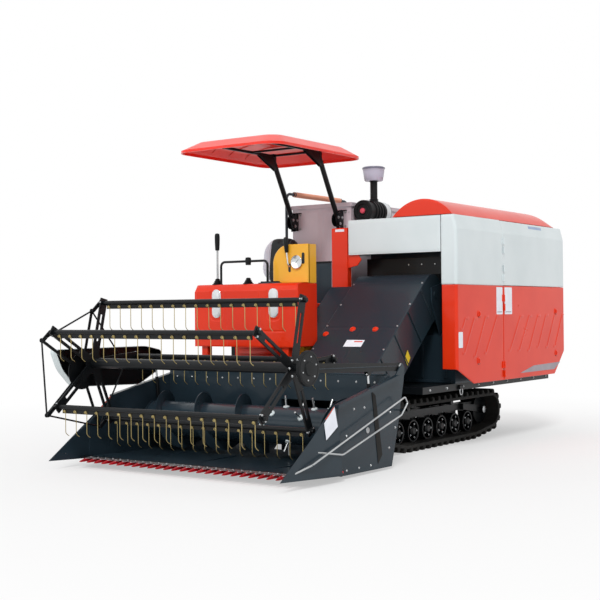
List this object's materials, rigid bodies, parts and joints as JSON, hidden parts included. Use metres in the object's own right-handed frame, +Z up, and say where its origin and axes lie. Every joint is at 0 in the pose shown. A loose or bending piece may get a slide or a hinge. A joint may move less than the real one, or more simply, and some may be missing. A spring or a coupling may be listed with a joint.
{
  "type": "combine harvester",
  "caption": "Crawler combine harvester with a reel and cutting table, feeder house, open operator's place under a canopy, grain tank and opening side doors.",
  "frame": {"origin": "on the ground under the middle of the machine's bounding box", "axes": "+X to the machine's left, +Y to its rear, +Z up; the cutting table faces -Y"},
  "size_m": [2.272, 4.9376, 2.65],
  "materials": {
    "red_paint": "gloss",
    "white_paint": "gloss",
    "slate_paint": "satin",
    "black_paint": "satin",
    "grey_paint": "satin",
    "yellow_paint": "gloss",
    "canopy_plastic": "gloss",
    "track_rubber": "matte",
    "seat_vinyl": "satin",
    "black_plastic": "satin",
    "bowl_plastic": "gloss",
    "bright_steel": "satin",
    "chrome_rod": "polished",
    "reel_steel": "satin",
    "cast_grey": "matte"
  },
  "bodies": {
    "machine": {"chassis_frame": "black_paint", "chassis_deck": "black_paint", "track_left": "track_rubber", "track_right": "track_rubber", "track_frame_left": "black_paint", "track_frame_right": "black_paint", "drive_axle": "cast_grey", "threshing_body": "grey_paint", "side_drives": "cast_grey", "front_fascia": "white_paint", "front_column": "red_paint", "straw_hood": "red_paint", "grain_tank": "white_paint", "tank_frame": "black_paint", "grain_elevator": "white_paint", "engine_block": "cast_grey", "engine_cover": "red_paint", "platform": "black_paint", "console": "red_paint", "console_rail": "black_paint", "side_console": "yellow_paint", "seat_cushion": "seat_vinyl", "seat_back": "seat_vinyl", "canopy": "canopy_plastic", "canopy_frame": "black_paint", "air_cleaner": "black_plastic", "precleaner": "bowl_plastic", "tank_handrail": "grey_paint"},
    "radiator_screen": {"screen_door": "black_paint"},
    "drum_lid": {"drum_cover": "red_paint"},
    "front_side_door": {"front_door_upper": "white_paint", "front_door_lower": "red_paint"},
    "rear_side_door": {"rear_door_upper": "white_paint", "rear_door_lower": "red_paint"},
    "table": {"feeder_house": "slate_paint", "header_trough": "slate_paint", "divider_left": "slate_paint", "divider_right": "slate_paint", "cutter_bar": "red_paint"},
    "knife": {"knife": "bright_steel"},
    "auger": {"auger": "slate_paint"},
    "reel_carrier": {"reel_arms": "black_paint", "end_shield": "white_paint"},
    "reel": {"reel": "black_paint"},
    "eccentric": {"eccentric_spider": "reel_steel"},
    "table_cylinder": {"lift_barrel": "black_paint"},
    "table_piston": {"lift_rod": "chrome_rod"},
    "reel_cylinders": {"reel_lift_barrels": "black_paint"},
    "reel_pistons": {"reel_lift_rods": "chrome_rod"},
    "tine_bar_1": {"tine_bar_1": "reel_steel"},
    "tine_bar_2": {"tine_bar_2": "reel_steel"},
    "tine_bar_3": {"tine_bar_3": "reel_steel"},
    "tine_bar_4": {"tine_bar_4": "reel_steel"},
    "tine_bar_5": {"tine_bar_5": "reel_steel"}
  },
  "joints": [
    {"name": "header_lift", "type": "hinge", "parent": "machine", "child": "table", "pos_m": [0.014, 0.2288, 1.3], "axis": [-1, 0, 0], "range_deg": [0, 14]},
    {"name": "auger_spin", "type": "hinge", "parent": "table", "child": "auger", "pos_m": [0.014, -1.2412, 0.315], "axis": [1, 0, 0], "continuous": true},
    {"name": "knife_slide", "type": "slide", "parent": "table", "child": "knife", "axis": [1, 0, 0], "range_m": [-0.038, 0.038]},
    {"name": "reel_lift", "type": "hinge", "parent": "table", "child": "reel_carrier", "pos_m": [0.014, -0.7362, 0.744], "axis": [-1, 0, 0], "range_deg": [0, 20]},
    {"name": "reel_spin", "type": "hinge", "parent": "reel_carrier", "child": "reel", "pos_m": [0.014, -1.9812, 0.79], "axis": [1, 0, 0], "continuous": true},
    {"name": "eccentric_turn", "type": "hinge", "parent": "reel_carrier", "child": "eccentric", "pos_m": [0.014, -2.0512, 0.73], "axis": [1, 0, 0], "continuous": true},
    {"name": "front_door_swing", "type": "hinge", "parent": "machine", "child": "front_side_door", "pos_m": [1.106, 0.9848, 1.2], "axis": [0, 0, 1], "range_deg": [0, 80]},
    {"name": "rear_door_swing", "type": "hinge", "parent": "machine", "child": "rear_side_door", "pos_m": [1.106, 0.9848, 1.2], "axis": [0, 0, -1], "range_deg": [0, 80]},
    {"name": "drum_lid_lift", "type": "hinge", "parent": "machine", "child": "drum_lid", "pos_m": [0.4927, 1.1188, 1.954], "axis": [0, -1, 0], "range_deg": [0, 70]},
    {"name": "screen_swing", "type": "hinge", "parent": "machine", "child": "radiator_screen", "pos_m": [-0.959, 0.4528, 0.9], "axis": [0, 0, -1], "range_deg": [0, 95]},
    {"name": "table_cylinder_turn", "type": "hinge", "parent": "machine", "child": "table_cylinder", "pos_m": [0.154, -0.0112, 0.26], "axis": [-1, 0, 0], "range_deg": [0, 8.9]},
    {"name": "table_piston_slide", "type": "slide", "parent": "table_cylinder", "child": "table_piston", "axis": [0, -0.9153, 0.4027], "range_m": [0, 0.2573]},
    {"name": "reel_cylinders_turn", "type": "hinge", "parent": "table", "child": "reel_cylinders", "pos_m": [0.014, -1.1512, 0.43], "axis": [-1, 0, 0], "range_deg": [0, 4.9]},
    {"name": "reel_pistons_slide", "type": "slide", "parent": "reel_cylinders", "child": "reel_pistons", "axis": [0, -0.1058, 0.9944], "range_m": [0, 0.1575]},
    {"name": "bar_1_turn", "type": "hinge", "parent": "reel", "child": "tine_bar_1", "pos_m": [0.014, -2.3828, 1.03417], "axis": [1, 0, 0], "continuous": true},
    {"name": "bar_2_turn", "type": "hinge", "parent": "reel", "child": "tine_bar_2", "pos_m": [0.014, -1.87308, 1.24739], "axis": [1, 0, 0], "continuous": true},
    {"name": "bar_3_turn", "type": "hinge", "parent": "reel", "child": "tine_bar_3", "pos_m": [0.014, -1.51278, 0.82851], "axis": [1, 0, 0], "continuous": true},
    {"name": "bar_4_turn", "type": "hinge", "parent": "reel", "child": "tine_bar_4", "pos_m": [0.014, -1.79983, 0.35641], "axis": [1, 0, 0], "continuous": true},
    {"name": "bar_5_turn", "type": "hinge", "parent": "reel", "child": "tine_bar_5", "pos_m": [0.014, -2.33752, 0.48351], "axis": [1, 0, 0], "continuous": true}
  ],
  "couplings": [
    {"joint": "eccentric_turn", "follows": "reel_spin", "ratio": 1},
    {"joint": "table_cylinder_turn", "follows": "header_lift", "ratio": 0.56257},
    {"joint": "table_piston_slide", "follows": "header_lift", "m_per_rad": 1.0365},
    {"joint": "reel_cylinders_turn", "follows": "reel_lift", "ratio": 0.19305},
    {"joint": "reel_pistons_slide", "follows": "reel_lift", "m_per_rad": 0.43983},
    {"joint": "bar_1_turn", "follows": "reel_spin", "ratio": -1},
    {"joint": "bar_2_turn", "follows": "reel_spin", "ratio": -1},
    {"joint": "bar_3_turn", "follows": "reel_spin", "ratio": -1},
    {"joint": "bar_4_turn", "follows": "reel_spin", "ratio": -1},
    {"joint": "bar_5_turn", "follows": "reel_spin", "ratio": -1}
  ]
}
